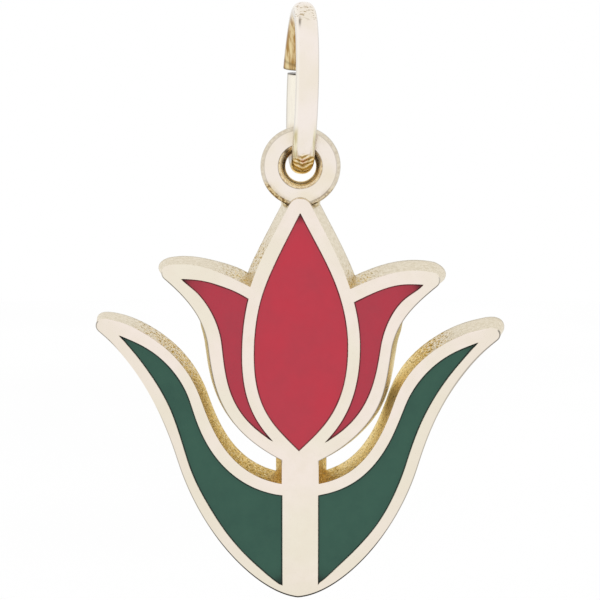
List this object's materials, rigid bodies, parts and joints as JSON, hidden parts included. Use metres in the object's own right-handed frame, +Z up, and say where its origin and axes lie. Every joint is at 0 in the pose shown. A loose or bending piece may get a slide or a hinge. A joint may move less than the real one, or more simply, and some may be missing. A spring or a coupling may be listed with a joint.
{
  "type": "tulip charm",
  "caption": "Cast gold tulip charm with enamelled petals and leaves, a soldered eyelet behind its tip and an open oval jump ring to hang it by.",
  "frame": {"origin": "the inside top of the jump ring, the point that the charm hangs by", "axes": "+Z up along the hanging charm, front face towards -Y, +X to the right seen from the front"},
  "size_m": [0.0163, 0.005, 0.0235],
  "materials": {
    "plate_gold": "cast pale yellow gold, polished front face, granular matt walls",
    "ring_gold": "polished drawn wire of pale yellow gold",
    "eyelet_gold": "polished pale yellow gold",
    "solder": "frozen gold solder, slightly granular",
    "red_enamel": "smooth red enamel, satin gloss",
    "green_enamel": "smooth dark green enamel, satin gloss"
  },
  "bodies": {
    "jump_ring": {"jump_ring": "ring_gold"},
    "charm": {"tulip_body": "plate_gold", "eyelet_ring": "eyelet_gold", "solder_left": "solder", "solder_right": "solder", "enamel_centre_petal": "red_enamel", "enamel_left_petal": "red_enamel", "enamel_right_petal": "red_enamel", "enamel_left_leaf": "green_enamel", "enamel_right_leaf": "green_enamel"}
  },
  "joints": [
    {"name": "charm_swing", "type": "hinge", "parent": "jump_ring", "child": "charm", "pos_m": [0, 0, -0.00549], "axis": [0, 1, 0], "range_deg": [-115, 115]}
  ]
}
